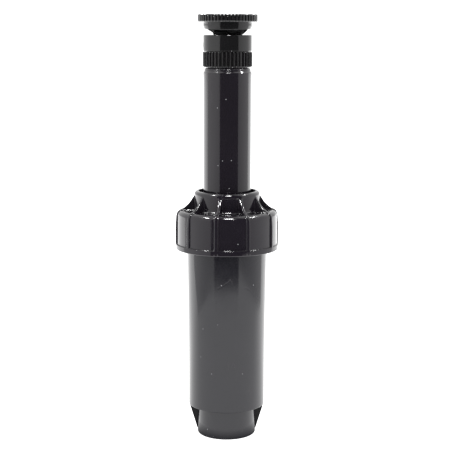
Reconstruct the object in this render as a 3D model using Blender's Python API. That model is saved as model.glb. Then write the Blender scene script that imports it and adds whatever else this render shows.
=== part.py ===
"""Pop-up spray sprinkler with its riser raised, as separate parts.

Every length below is in millimetres and is scaled to metres where a mesh is made.
+Z is up, the origin is the centre of the inlet's bottom face, and angles count from the
front (-Y) towards +X. The riser, its nozzle and the ratchet ring are drawn raised.
"""

import math

import bmesh
import bpy

MM = 0.001
GAP = 0.3  # between parts that touch

# Driving dimensions
CASING_SEGMENTS = 36
SMALL_SEGMENTS = 24

INLET_RADIUS = 16.85
INLET_BORE = 10.6  # root of the 1/2 inch pipe thread
INLET_THREAD_CREST = 9.2
INLET_DEPTH = 13.6
BARREL_BOTTOM = 17.6
BARREL_RADIUS_LOW = 22.1
BARREL_RADIUS_HIGH = 22.95
BARREL_BORE_LOW = 19.3
BARREL_BORE_HIGH = 19.8
FLOOR = 20.0
WELL_FLOOR = 15.7
WELL_RADIUS = 14.2
THREAD_COLLAR_RADIUS = 23.6
CASING_TOP = 127.8
CASING_THREAD_CREST = 25.1
CASING_THREAD_PITCH = 4.0
CASING_THREAD_START = 115.0
GUIDE_RIBS = 4
GUIDE_RIB_CREST = 17.4
GUIDE_RIB_HALF_ANGLE = 4.0

CAP_FINS = 10
CAP_FIN_START = -12.0  # degrees from the front
CAP_FIN_HALF_ANGLE = 2.3
CAP_BOTTOM = 109.5
CAP_TOP = 143.0
CAP_NECK_RADIUS = 18.8
CAP_MOUTH_RADIUS = 16.3
CAP_LIP_RADIUS = 14.5
CAP_THREAD_ROOT = 25.7
CAP_THREAD_CREST = 24.1
CAP_PANEL_RADIUS = 28.7
CAP_FLANGE_RADIUS = 29.6  # the ribs stand out as far as the flange

SEAL_LIP_RADIUS = 14.2  # wide enough for the nozzle's ribs to pass

STEM_RADIUS = 13.6
STEM_BORE = 11.0
STEM_BOTTOM = 109.6
STEM_SHOULDER = 209.6
STEM_TOP = 219.3
STEM_THREAD_ROOT = 11.2
STEM_THREAD_CREST = 11.9
RATCHET_TEETH = 24
RATCHET_TOOTH = 0.8

NOZZLE_BOTTOM = 212.6
NOZZLE_SEAM = 221.2
NOZZLE_RIBS = 40
NOZZLE_RIB_CREST = 13.85
NOZZLE_RIB_ROOT = 13.25
SLEEVE_TOP = 230.5
NOZZLE_THREAD_ROOT = 12.1
NOZZLE_THREAD_CREST = 11.45
NOZZLE_THREAD_PITCH = 2.4
NOZZLE_THREAD_START = 213.6

RIM_TEETH = 50
RIM_CREST = 16.7
RIM_ROOT = 15.9
RIM_BOTTOM = 237.7
DEFLECTOR_TOP = 241.9
HUB_RADIUS = 13.6
HUB_DIP = 0.75  # how far the hub's lower edge sinks towards the front, seen from a side
ARC_RAMP = 1.2  # rise of the arc ramps over a full turn

# Colours and finishes: linear colour, roughness, metallic value
BLACK_PLASTIC = ((0.012, 0.012, 0.013), 0.18, 0.0)
INNER_PLASTIC = ((0.018, 0.018, 0.019), 0.35, 0.0)
RUBBER = ((0.010, 0.010, 0.010), 0.70, 0.0)
STAINLESS = ((0.60, 0.60, 0.58), 0.30, 1.0)


def clear_scene():
    for obj in list(bpy.data.objects):
        bpy.data.objects.remove(obj, do_unlink=True)


def material(name, finish):
    made = bpy.data.materials.get(name)
    if made:
        return made
    colour, roughness, metallic = finish
    made = bpy.data.materials.new(name)
    made.use_nodes = True
    shader = made.node_tree.nodes["Principled BSDF"]
    shader.inputs["Base Color"].default_value = (*colour, 1.0)
    shader.inputs["Roughness"].default_value = roughness
    shader.inputs["Metallic"].default_value = metallic
    return made


# Turning: an outline of points, each turned about Z through a list of (angle, share)


def plain_turn(segments):
    """Evenly spaced angles with no pattern."""
    return [(360.0 * i / segments, 0.0) for i in range(segments)]


def toothed_turn(teeth, start=0.0):
    """Alternating root (share 0) and crest (share 1) angles."""
    step = 360.0 / teeth
    turn = []
    for i in range(teeth):
        turn.append((start + i * step, 1.0))
        turn.append((start + (i + 0.5) * step, 0.0))
    return turn


def saw_turn(teeth):
    """Saw teeth: each climbs over most of its pitch, then drops."""
    step = 360.0 / teeth
    turn = []
    for i in range(teeth):
        turn.append((i * step, 0.0))
        turn.append((i * step + 0.8 * step, 1.0))
    return turn


def keyed_turn(keys, start, half_angle, flank, between):
    """Keys with near-radial flanks: share 1 over each key, 0 elsewhere."""
    step = 360.0 / keys
    turn = []
    for i in range(keys):
        middle = start + i * step
        turn.append((middle - half_angle - flank, 0.0))
        turn.append((middle - half_angle, 1.0))
        turn.append((middle + half_angle, 1.0))
        turn.append((middle + half_angle + flank, 0.0))
        clear = step - 2 * (half_angle + flank)
        for k in range(1, between + 1):
            turn.append((middle + half_angle + flank + clear * k / (between + 1), 0.0))
    return turn


def morph(low, high):
    """An outline point that goes from low at share 0 to high at share 1."""

    def at(_angle, share):
        return tuple(a + (b - a) * share for a, b in zip(low, high))

    return at


def ramp(radius, z, rise):
    """An outline point that climbs with the angle and drops back at the front."""

    def at(angle, _share):
        return radius, z + rise * (angle % 360.0) / 360.0

    return at


def dip(radius, z, rise):
    """An outline point that is lowest at the front and highest at the back."""

    def at(angle, _share):
        return radius, z + rise * (1.0 - math.cos(math.radians(angle)))

    return at


def turned(name, outline, turn, finish_name, finish):
    """A solid turned about Z from a closed outline, which may run along the axis."""
    mesh = bmesh.new()
    columns = []
    on_axis = {}
    for angle, share in turn:
        column = []
        for i, point in enumerate(outline):
            radius, z = point(angle, share) if callable(point) else point
            if radius == 0 and i in on_axis:
                column.append(on_axis[i])
                continue
            a = math.radians(angle)
            place = (radius * math.sin(a) * MM, -radius * math.cos(a) * MM, z * MM)
            vertex = mesh.verts.new(place)
            if radius == 0:
                on_axis[i] = vertex
            column.append(vertex)
        columns.append(column)
    for i, column in enumerate(columns):
        following = columns[(i + 1) % len(columns)]
        for j in range(len(outline)):
            k = (j + 1) % len(outline)
            corners = []
            for vertex in (column[j], column[k], following[k], following[j]):
                if vertex not in corners:
                    corners.append(vertex)
            if len(corners) > 2:
                mesh.faces.new(corners)
    bmesh.ops.recalc_face_normals(mesh, faces=mesh.faces)
    return finished(name, mesh, finish_name, finish)


def finished(name, mesh, finish_name, finish):
    data = bpy.data.meshes.new(name)
    mesh.to_mesh(data)
    mesh.free()
    data.materials.append(material(finish_name, finish))
    data.shade_smooth()
    data.set_sharp_from_angle(angle=math.radians(35))
    obj = bpy.data.objects.new(name, data)
    bpy.context.scene.collection.objects.link(obj)
    return obj


# Helper solids: threads, blocks and rods that are joined to or cut from a part


def hidden(obj):
    """Marks a solid as one that only joins to or cuts another."""
    obj.hide_render = True
    obj.display_type = "WIRE"
    return obj


def helper(name, mesh):
    data = bpy.data.meshes.new(name)
    bmesh.ops.recalc_face_normals(mesh, faces=mesh.faces)
    mesh.to_mesh(data)
    mesh.free()
    obj = bpy.data.objects.new(name, data)
    bpy.context.scene.collection.objects.link(obj)
    return hidden(obj)


def thread_ridge(name, base, crest, root_width, crest_width, pitch, first_z, turns, steps):
    """A helical ridge from the radius base, inside the wall, to the radius crest, run out at both ends."""
    mesh = bmesh.new()
    count = int(turns * steps)
    run_out = steps // 6
    rings = []
    for i in range(count + 1):
        angle = 2 * math.pi * i / steps
        z = first_z + pitch * i / steps
        height = min(1.0, (i + 0.2) / run_out, (count - i + 0.2) / run_out)
        top = base + (crest - base) * height
        section = (
            (base, z - root_width / 2),
            (base, z + root_width / 2),
            (top, z + crest_width / 2),
            (top, z - crest_width / 2),
        )
        ring = []
        for radius, level in section:
            place = (radius * math.sin(angle), -radius * math.cos(angle), level)
            ring.append(mesh.verts.new([c * MM for c in place]))
        rings.append(ring)
    for here, there in zip(rings, rings[1:]):
        for j in range(4):
            k = (j + 1) % 4
            mesh.faces.new((here[j], here[k], there[k], there[j]))
    mesh.faces.new(rings[0])
    mesh.faces.new(rings[-1][::-1])
    return helper(name, mesh)


def add_prism(mesh, points, low, high):
    """An upright prism on a ring of (x, y) points."""
    bottom = [mesh.verts.new((x * MM, y * MM, low * MM)) for x, y in points]
    top = [mesh.verts.new((x * MM, y * MM, high * MM)) for x, y in points]
    mesh.faces.new(bottom[::-1])
    mesh.faces.new(top)
    for i in range(len(points)):
        k = (i + 1) % len(points)
        mesh.faces.new((bottom[i], bottom[k], top[k], top[i]))


def radial_box(angle, inner, outer, half_width):
    """Corners of a box that lies along the radius at an angle."""
    a = math.radians(angle)
    along = (math.sin(a), -math.cos(a))
    across = (math.cos(a), math.sin(a))
    corners = ((inner, -half_width), (outer, -half_width), (outer, half_width), (inner, half_width))
    return [
        (along[0] * r + across[0] * w, along[1] * r + across[1] * w) for r, w in corners
    ]


def circle(x, y, radius, sides):
    return [
        (
            x + radius * math.cos(2 * math.pi * i / sides),
            y + radius * math.sin(2 * math.pi * i / sides),
        )
        for i in range(sides)
    ]


def boolean(obj, other, operation):
    modifier = obj.modifiers.new(other.name, "BOOLEAN")
    modifier.operation = operation
    modifier.solver = "EXACT"
    modifier.object = other


# The casing and what stays with it


def body_casing():
    """Barrel with four guide ribs inside, a threaded collar on top and a threaded inlet below."""
    outline = [
        (INLET_RADIUS - 0.7, 0.0),
        (INLET_RADIUS - 0.2, 0.2),
        (INLET_RADIUS, 0.7),
        (INLET_RADIUS, BARREL_BOTTOM),
        (BARREL_RADIUS_LOW - 0.4, BARREL_BOTTOM),
        (BARREL_RADIUS_LOW, BARREL_BOTTOM + 0.5),
        (BARREL_RADIUS_LOW + 0.1, 49.0),
        (BARREL_RADIUS_LOW + 0.4, 78.8),
        (BARREL_RADIUS_HIGH, 106.0),
        (BARREL_RADIUS_HIGH, 111.0),
        (THREAD_COLLAR_RADIUS, 112.0),
        (THREAD_COLLAR_RADIUS, CASING_TOP - 0.6),
        (THREAD_COLLAR_RADIUS - 0.6, CASING_TOP),
        (BARREL_BORE_HIGH, CASING_TOP),
        (BARREL_BORE_HIGH, 125.0),
        morph((BARREL_BORE_HIGH, 124.4), (GUIDE_RIB_CREST, 123.6)),
        morph((BARREL_BORE_LOW, FLOOR + 2.6), (GUIDE_RIB_CREST, FLOOR + 2.6)),
        (BARREL_BORE_LOW, FLOOR),
        (WELL_RADIUS, FLOOR),
        (WELL_RADIUS, WELL_FLOOR),
        (8.5, WELL_FLOOR),
        (8.5, INLET_DEPTH),
        (INLET_BORE, INLET_DEPTH),
        (INLET_BORE, 1.2),
        (INLET_BORE + 1.0, 0.0),
    ]
    turn = keyed_turn(GUIDE_RIBS, 0.0, GUIDE_RIB_HALF_ANGLE, 0.5, 7)
    casing = turned("body_casing", outline, turn, "black_plastic", BLACK_PLASTIC)
    collar_thread = thread_ridge(
        "collar_thread",
        base=THREAD_COLLAR_RADIUS - 0.5,
        crest=CASING_THREAD_CREST,
        root_width=1.6,
        crest_width=0.8,
        pitch=CASING_THREAD_PITCH,
        first_z=CASING_THREAD_START,
        turns=2.5,
        steps=SMALL_SEGMENTS,
    )
    inlet_thread = thread_ridge(
        "inlet_thread",
        base=INLET_BORE + 0.5,
        crest=INLET_THREAD_CREST,
        root_width=1.3,
        crest_width=0.4,
        pitch=1.814,  # 14 threads an inch
        first_z=2.4,
        turns=4.5,
        steps=SMALL_SEGMENTS,
    )
    gussets = bmesh.new()
    for side in (90.0, 270.0):
        add_gusset(gussets, side)
    boolean(casing, collar_thread, "UNION")
    boolean(casing, inlet_thread, "UNION")
    boolean(casing, helper("inlet_gussets", gussets), "UNION")
    return casing


def add_gusset(mesh, angle):
    """A triangular web from the barrel's lower edge down to the inlet."""
    half = 0.9
    a = math.radians(angle)
    side = [
        (INLET_RADIUS - 0.8, BARREL_BOTTOM + 1.0),
        (BARREL_RADIUS_LOW - 0.3, BARREL_BOTTOM + 1.0),
        (BARREL_RADIUS_LOW - 0.3, BARREL_BOTTOM - 0.6),
        (INLET_RADIUS + 0.2, 2.0),
        (INLET_RADIUS - 0.8, 1.6),
    ]
    faces = []
    for offset in (-half, half):
        ring = []
        for radius, z in side:
            x = radius * math.sin(a) + offset * math.cos(a)
            y = -radius * math.cos(a) + offset * math.sin(a)
            ring.append(mesh.verts.new((x * MM, y * MM, z * MM)))
        faces.append(ring)
    left, right = faces
    mesh.faces.new(left)
    mesh.faces.new(right[::-1])
    for i in range(len(side)):
        k = (i + 1) % len(side)
        mesh.faces.new((left[i], right[i], right[k], left[k]))


def cap():
    """Screw cap: a neck with ten buttress fins, each carried down the skirt as a grip rib."""
    neck = 18.2
    outline = [
        (CAP_MOUTH_RADIUS, CAP_TOP - 0.9),
        (CAP_MOUTH_RADIUS + 0.5, CAP_TOP - 0.1),
        (CAP_MOUTH_RADIUS + 1.0, CAP_TOP),
        (CAP_NECK_RADIUS - 0.6, CAP_TOP - 0.6),
        (CAP_NECK_RADIUS, CAP_TOP - 1.9),
        morph((neck + 0.2, 139.8), (19.3, 139.8)),
        morph((neck, 136.5), (20.2, 138.2)),
        morph((neck, 133.5), (21.6, 136.1)),
        morph((neck + 0.3, 131.8), (23.0, 134.6)),
        morph((neck + 1.0, 131.2), (24.6, 133.3)),
        morph((24.6, 131.2), (25.8, 132.5)),
        (26.2, 131.9),
        morph((27.8, 131.0), (28.3, 131.2)),
        morph((CAP_PANEL_RADIUS - 0.4, 129.2), (CAP_FLANGE_RADIUS - 0.6, 129.2)),
        morph((CAP_PANEL_RADIUS - 0.1, 125.0), (CAP_FLANGE_RADIUS - 0.1, 125.0)),
        morph((CAP_PANEL_RADIUS, 113.1), (CAP_FLANGE_RADIUS, 113.1)),
        (CAP_FLANGE_RADIUS, 112.3),
        (CAP_FLANGE_RADIUS, 110.5),
        (CAP_FLANGE_RADIUS - 0.7, CAP_BOTTOM),
        (CAP_THREAD_ROOT + 0.6, CAP_BOTTOM),
        (CAP_THREAD_ROOT, CAP_BOTTOM + 0.8),
        (CAP_THREAD_ROOT, 129.4),
        (16.4, 129.4),
        (16.4, 137.6),
        (CAP_LIP_RADIUS, 137.6),
        (CAP_LIP_RADIUS, 138.6),
        (CAP_LIP_RADIUS + 0.5, 139.2),
        (CAP_MOUTH_RADIUS, 139.2),
    ]
    turn = keyed_turn(CAP_FINS, CAP_FIN_START, CAP_FIN_HALF_ANGLE, 0.4, 3)
    made = turned("cap", outline, turn, "black_plastic", BLACK_PLASTIC)
    thread = thread_ridge(
        "cap_thread",
        base=CAP_THREAD_ROOT + 0.5,
        crest=CAP_THREAD_CREST,
        root_width=1.6,
        crest_width=0.8,
        pitch=CASING_THREAD_PITCH,
        first_z=CASING_THREAD_START - CASING_THREAD_PITCH / 2,
        turns=3,
        steps=SMALL_SEGMENTS,
    )
    boolean(made, thread, "UNION")
    return made


def cap_gasket():
    """Flat ring squeezed between the casing's rim and the cap."""
    low = CASING_TOP + GAP
    high = 129.4 - GAP
    outline = [(20.2, low), (23.0, low), (23.2, (low + high) / 2), (23.0, high), (20.2, high)]
    return turned("cap_gasket", outline, plain_turn(CASING_SEGMENTS), "rubber", RUBBER)


def wiper_seal():
    """Rubber ring in the cap's neck, with a lip that wipes the riser."""
    outline = [
        (16.1, 134.6),
        (16.1, 137.3),
        (15.0, 137.3),
        (14.6, 136.9),
        (SEAL_LIP_RADIUS, 137.2),
        (SEAL_LIP_RADIUS, 136.5),
        (14.7, 135.6),
        (14.9, 134.6),
    ]
    return turned("wiper_seal", outline, plain_turn(CASING_SEGMENTS), "rubber", RUBBER)


def seal_retainer():
    """Stepped ring under the wiper seal that the spring pushes against."""
    outline = [
        (SEAL_LIP_RADIUS, 132.0),
        (16.1, 132.0),
        (16.1, 134.3),
        (SEAL_LIP_RADIUS, 134.3),
    ]
    return turned(
        "seal_retainer", outline, plain_turn(CASING_SEGMENTS), "inner_plastic", INNER_PLASTIC
    )


def retract_spring():
    """Stainless coil, squeezed flat while the riser is up."""
    wire = 0.6
    mean = 14.95
    low = 119.0 + GAP + wire
    high = 132.0 - GAP - wire
    turns = 8.5
    steps = 18
    sides = 6
    mesh = bmesh.new()
    count = int(turns * steps)
    rings = []
    for i in range(count + 1):
        angle = 2 * math.pi * i / steps
        z = low + (high - low) * i / count
        ring = []
        for j in range(sides):
            around = 2 * math.pi * j / sides
            radius = mean + wire * math.cos(around)
            level = z + wire * math.sin(around)
            place = (radius * math.sin(angle), -radius * math.cos(angle), level)
            ring.append(mesh.verts.new([c * MM for c in place]))
        rings.append(ring)
    for here, there in zip(rings, rings[1:]):
        for j in range(sides):
            k = (j + 1) % sides
            mesh.faces.new((here[j], here[k], there[k], there[j]))
    mesh.faces.new(rings[0])
    mesh.faces.new(rings[-1][::-1])
    bmesh.ops.recalc_face_normals(mesh, faces=mesh.faces)
    return finished("retract_spring", mesh, "stainless", STAINLESS)


# What slides: the ratchet ring, and the riser that turns in it


def ratchet_ring():
    """Ring notched for the casing's guide ribs, with saw teeth below for the riser's flange."""
    outline = [
        (13.95, 117.4),
        (16.6, 117.4),
        morph((18.1, 117.4), (17.0 - GAP / 2, 117.4)),
        morph((18.1, 119.0), (17.0 - GAP / 2, 119.0)),
        (13.95, 119.0),
    ]
    turn = keyed_turn(GUIDE_RIBS, 0.0, GUIDE_RIB_HALF_ANGLE + 1.5, 0.5, 6)
    ring = turned("ratchet_ring", outline, turn, "inner_plastic", INNER_PLASTIC)
    teeth = turned(
        "ring_teeth",
        [
            (14.2, 117.9),
            morph((14.2, 115.9), (14.2, 115.9 + RATCHET_TOOTH)),
            morph((16.4, 115.9), (16.4, 115.9 + RATCHET_TOOTH)),
            (16.4, 117.9),
        ],
        saw_turn(RATCHET_TEETH),
        "inner_plastic",
        INNER_PLASTIC,
    )
    boolean(ring, hidden(teeth), "UNION")
    return ring


def riser_stem():
    """Tube with a toothed flange at the foot and a thread for the nozzle at the top."""
    flange_low = 113.8
    flange_high = 115.5
    outline = [
        (STEM_BORE, STEM_BOTTOM),
        (STEM_RADIUS - 0.3, STEM_BOTTOM),
        (STEM_RADIUS, STEM_BOTTOM + 0.3),
        (STEM_RADIUS, flange_low),
        (17.0, flange_low),
        (17.0, flange_high),
        morph((16.4, flange_high), (16.4, flange_high + RATCHET_TOOTH)),
        morph((14.2, flange_high), (14.2, flange_high + RATCHET_TOOTH)),
        (14.0, flange_high),
        (STEM_RADIUS, flange_high),
        (STEM_RADIUS, STEM_SHOULDER),
        (STEM_RADIUS - 0.25, STEM_SHOULDER + 0.8),
        (12.9, 211.2),
        (12.85, 212.1),
        (STEM_THREAD_ROOT, 212.3),
        (STEM_THREAD_ROOT, STEM_TOP - 0.3),
        (STEM_THREAD_ROOT - 0.3, STEM_TOP),
        (9.4, STEM_TOP),
        (9.4, 209.0),
        (STEM_BORE, 207.0),
    ]
    stem = turned(
        "riser_stem", outline, saw_turn(RATCHET_TEETH), "black_plastic", BLACK_PLASTIC
    )
    thread = thread_ridge(
        "stem_thread",
        base=STEM_THREAD_ROOT - 0.5,
        crest=STEM_THREAD_CREST,
        root_width=0.9,
        crest_width=0.4,
        pitch=NOZZLE_THREAD_PITCH,
        first_z=NOZZLE_THREAD_START,
        turns=2,
        steps=SMALL_SEGMENTS,
    )
    boolean(stem, thread, "UNION")
    return stem


# The nozzle


def nozzle_base():
    """Ribbed skirt that screws on to the riser, with a ported web, two legs and an upper tube."""
    outline = [
        (NOZZLE_THREAD_ROOT, NOZZLE_BOTTOM),
        (13.0, NOZZLE_BOTTOM),
        (13.1, 213.2),
        (13.1, NOZZLE_SEAM - 0.4),
        (11.9, NOZZLE_SEAM - 0.3),
        (11.9, 228.4),
        (10.3, 228.4),
        (10.3, 222.4),
        (4.6, 222.4),
        (4.6, 224.5),
        (3.7, 224.5),
        (3.7, 220.4),
        (4.9, 220.7),
        (NOZZLE_THREAD_ROOT, 220.7),
    ]
    base = turned(
        "nozzle_base", outline, plain_turn(CASING_SEGMENTS), "black_plastic", BLACK_PLASTIC
    )
    ribs = turned(
        "nozzle_ribs",
        [
            (12.6, 212.9),
            (13.05, 212.9),
            morph((NOZZLE_RIB_ROOT, 213.6), (NOZZLE_RIB_CREST, 213.6)),
            morph((NOZZLE_RIB_ROOT, NOZZLE_SEAM - 0.1), (NOZZLE_RIB_CREST, NOZZLE_SEAM - 0.1)),
            (12.6, NOZZLE_SEAM - 0.1),
        ],
        toothed_turn(NOZZLE_RIBS),
        "black_plastic",
        BLACK_PLASTIC,
    )
    thread = thread_ridge(
        "nozzle_thread",
        base=NOZZLE_THREAD_ROOT + 0.4,
        crest=NOZZLE_THREAD_CREST,
        root_width=0.9,
        crest_width=0.4,
        pitch=NOZZLE_THREAD_PITCH,
        first_z=NOZZLE_THREAD_START + NOZZLE_THREAD_PITCH / 2,
        turns=2,
        steps=SMALL_SEGMENTS,
    )
    legs = bmesh.new()
    for side in (90.0, 270.0):
        add_prism(legs, radial_box(side, 5.8, 6.8, 1.2), 215.4, 221.6)
    ports = bmesh.new()
    port_count = 6
    for i in range(port_count):
        a = 2 * math.pi * i / port_count
        add_prism(ports, circle(8.2 * math.sin(a), 8.2 * math.cos(a), 1.2, 8), 219.0, 224.0)
    boolean(base, hidden(ribs), "UNION")
    boolean(base, thread, "UNION")
    boolean(base, helper("base_legs", legs), "UNION")
    boolean(base, helper("base_ports", ports), "DIFFERENCE")
    return base


def nozzle_gasket():
    """Flat washer between the riser's top and the nozzle."""
    outline = [
        (10.5, STEM_TOP + GAP),
        (11.6, STEM_TOP + GAP),
        (11.6, 220.4),
        (10.5, 220.4),
    ]
    return turned("nozzle_gasket", outline, plain_turn(SMALL_SEGMENTS), "rubber", RUBBER)


def nozzle_sleeve():
    """Smooth ring over the base's upper tube; its top edge is the lower lip of the spray slot."""
    low = NOZZLE_SEAM + GAP - 0.1
    outline = [
        (12.2, low),
        (STEM_RADIUS - 0.4, low),
        (STEM_RADIUS, low + 0.6),
        (STEM_RADIUS, SLEEVE_TOP - 0.4),
        (STEM_RADIUS - 0.3, SLEEVE_TOP),
        (12.4, SLEEVE_TOP),
        (12.2, SLEEVE_TOP - 0.3),
    ]
    return turned(
        "nozzle_sleeve", outline, plain_turn(CASING_SEGMENTS), "black_plastic", BLACK_PLASTIC
    )


def arc_seat():
    """Ring in the sleeve's mouth whose ramped edge meets the deflector's ramp."""
    outline = [
        (8.4, 228.7),
        (11.9, 228.7),
        (11.9, 229.2),
        ramp(8.9, 229.0, ARC_RAMP * 0.7),
        ramp(8.4, 229.0, ARC_RAMP * 0.7),
    ]
    return turned(
        "arc_seat", outline, plain_turn(CASING_SEGMENTS), "inner_plastic", INNER_PLASTIC
    )


def filter_screen():
    """Slotted basket whose rim rests on the riser's top."""
    outline = [
        (10.2, STEM_TOP + GAP),
        (9.1, STEM_TOP + GAP),
        (9.1, 210.0),
        (7.6, 208.6),
        (7.2, 180.6),
        (6.6, 180.0),
        (0.0, 180.0),
        (0.0, 181.2),
        (6.2, 181.2),
        (6.5, 209.2),
        (6.7, 212.7),
        (8.3, 212.7),
        (8.3, 220.2),
        (10.2, 220.2),
    ]
    basket = turned(
        "filter_screen", outline, plain_turn(SMALL_SEGMENTS), "inner_plastic", INNER_PLASTIC
    )
    slots = bmesh.new()
    slot_columns = 8
    for row in range(3):
        low = 183.5 + row * 8.4
        for i in range(slot_columns):
            box = radial_box((i + 0.5) * 360.0 / slot_columns, 4.5, 9.0, 0.9)
            add_prism(slots, box, low, low + 6.6)
    boolean(basket, helper("filter_slots", slots), "DIFFERENCE")
    return basket


def throttle_seat():
    """Orifice plate in the filter's collar that the throttle nut closes on."""
    outline = [
        (3.4, 213.0),
        (8.0, 213.0),
        (8.0, 214.0),
        (4.4, 214.0),
        (3.8, 214.4),
        (3.4, 214.4),
    ]
    return turned(
        "throttle_seat", outline, plain_turn(SMALL_SEGMENTS), "inner_plastic", INNER_PLASTIC
    )


def throttle_nut():
    """Nut on the flow screw, kept from turning by the nozzle base's two legs."""
    low = 216.6
    high = 218.8
    outline = [
        (1.8, low),
        (3.2, low),
        (3.8, low + 0.5),
        morph((7.1, low + 0.8), (5.4, low + 0.8)),
        morph((7.1, high), (5.4, high)),
        (1.8, high),
    ]
    turn = keyed_turn(2, 90.0, 18.0, 0.5, 5)
    return turned("throttle_nut", outline, turn, "inner_plastic", INNER_PLASTIC)


def deflector():
    """Knurled disc with a stepped cone that throws the water, on a hollow stem."""
    outline = [
        (3.6, 238.3),
        (3.6, DEFLECTOR_TOP - 0.7),
        (4.3, DEFLECTOR_TOP),
        (14.9, DEFLECTOR_TOP),
        (15.2, DEFLECTOR_TOP - 0.4),
        (15.2, RIM_BOTTOM + 0.3),
        (HUB_RADIUS, RIM_BOTTOM - 0.3),
        dip(HUB_RADIUS, 233.2, HUB_DIP),
        dip(12.4, 233.0, HUB_DIP),
        ramp(8.4, 230.2, ARC_RAMP * 1.6),
        (8.0, 229.9),
        (6.6, 229.6),
        (4.6, 227.4),
        (3.4, 226.6),
        (3.4, 220.3),
        (2.9, 220.3),
        (2.9, 219.5),
        (3.2, 219.2),
        (1.8, 219.2),
        (1.8, 225.6),
        (2.6, 225.6),
        (2.6, 227.8),
        (1.8, 227.8),
        (1.8, 238.3),
    ]
    made = turned(
        "deflector", outline, plain_turn(CASING_SEGMENTS), "black_plastic", BLACK_PLASTIC
    )
    rim = turned(
        "knurled_rim",
        [
            (14.0, DEFLECTOR_TOP - 0.3),
            (15.5, DEFLECTOR_TOP - 0.3),
            morph((RIM_ROOT, DEFLECTOR_TOP - 0.9), (RIM_CREST, DEFLECTOR_TOP - 0.9)),
            morph((RIM_ROOT, RIM_BOTTOM), (RIM_CREST, RIM_BOTTOM)),
            (14.0, RIM_BOTTOM),
        ],
        toothed_turn(RIM_TEETH),
        "black_plastic",
        BLACK_PLASTIC,
    )
    boolean(made, hidden(rim), "UNION")
    return made


def small_ring(name, middle, z, thickness, finish_name, finish):
    """A round-section ring."""
    sides = 8
    outline = []
    for i in range(sides):
        a = 2 * math.pi * i / sides
        outline.append((middle + thickness / 2 * math.cos(a), z + thickness / 2 * math.sin(a)))
    return turned(name, outline, plain_turn(SMALL_SEGMENTS), finish_name, finish)


def deflector_clip():
    """Push-on ring that keeps the deflector's stem in the web."""
    outline = [(3.15, 219.6), (4.7, 219.6), (4.7, 220.1), (3.15, 220.1)]
    return turned("deflector_clip", outline, plain_turn(SMALL_SEGMENTS), "stainless", STAINLESS)


def flow_screw():
    """Slotted screw through the deflector; its thread carries the throttle nut."""
    outline = [
        (0.0, 214.9),
        (1.2, 214.9),
        (1.5, 215.3),
        (1.5, 222.0),
        (1.3, 222.3),
        (1.3, 238.6),
        (2.9, 238.6),
        (3.1, 239.2),
        (3.0, 240.3),
        (2.4, 240.7),
        (0.0, 240.8),
    ]
    screw = turned("flow_screw", outline, plain_turn(SMALL_SEGMENTS), "stainless", STAINLESS)
    slot = bmesh.new()
    add_prism(slot, [(-4.0, -0.4), (4.0, -0.4), (4.0, 0.4), (-4.0, 0.4)], 239.8, 242.0)
    boolean(screw, helper("screw_slot", slot), "DIFFERENCE")
    return screw


def main():
    clear_scene()
    body_casing()
    cap()
    cap_gasket()
    wiper_seal()
    seal_retainer()
    retract_spring()
    ratchet_ring()
    riser_stem()
    nozzle_base()
    nozzle_gasket()
    nozzle_sleeve()
    arc_seat()
    filter_screen()
    throttle_seat()
    throttle_nut()
    deflector()
    small_ring("deflector_oring", 4.25, 225.4, 1.2, "rubber", RUBBER)
    deflector_clip()
    flow_screw()
    small_ring("screw_oring", 1.95, 226.7, 0.9, "rubber", RUBBER)


main()
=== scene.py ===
"""Pop-up spray sprinkler, riser raised: visible pieces, finishes, studio and camera.

Lengths in the outlines are millimetres in the CAD frame: +Z up, the origin at the centre of the
inlet's bottom face, and angles in degrees from the front (-Y) towards +X. The studio's lengths
are metres.
"""

import math

import bmesh
import bpy
from mathutils import Matrix, Vector

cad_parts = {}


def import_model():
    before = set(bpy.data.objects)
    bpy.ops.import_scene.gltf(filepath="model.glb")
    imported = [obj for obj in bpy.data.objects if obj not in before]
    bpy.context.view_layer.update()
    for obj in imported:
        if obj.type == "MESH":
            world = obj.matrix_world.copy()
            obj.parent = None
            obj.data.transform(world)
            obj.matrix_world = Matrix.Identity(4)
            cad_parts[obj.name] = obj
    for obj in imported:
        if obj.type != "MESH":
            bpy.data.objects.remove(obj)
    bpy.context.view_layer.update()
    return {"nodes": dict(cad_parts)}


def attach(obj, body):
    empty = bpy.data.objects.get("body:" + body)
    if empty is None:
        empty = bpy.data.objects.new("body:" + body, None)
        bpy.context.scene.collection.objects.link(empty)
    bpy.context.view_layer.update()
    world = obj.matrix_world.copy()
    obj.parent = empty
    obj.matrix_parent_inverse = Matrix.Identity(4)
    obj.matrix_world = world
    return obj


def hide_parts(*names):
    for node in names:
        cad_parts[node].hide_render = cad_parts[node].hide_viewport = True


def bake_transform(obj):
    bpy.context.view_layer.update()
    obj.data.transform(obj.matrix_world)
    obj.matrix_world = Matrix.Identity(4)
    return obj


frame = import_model()

MM = 0.001
TAU = 2 * math.pi

STEPS = 240  # columns round a large turned piece

INLET_RADIUS = 16.85
INLET_PITCH = 1.814  # 14 threads an inch
BARREL_FOOT = 17.6
GUIDE_RIB_FOOT = 22.5
GUIDE_RIB_TOP = 124.0
PARTING_LINE = 1.5  # its angle at the front; the other one is opposite

COLLAR_RADIUS = 23.6
COLLAR_PITCH = 4.0

FINS = 10
FIRST_FIN = -12.0
FLANGE_RADIUS = 29.6
RIM_TOP = 142.9

STEM_RADIUS = 13.6
RATCHET_TEETH = 24
COLLAR_RIBS = 40
RIM_TEETH = 50
HUB_DIP = 0.75
CONE_CLIMB = 1.9


# Outlines


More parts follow.
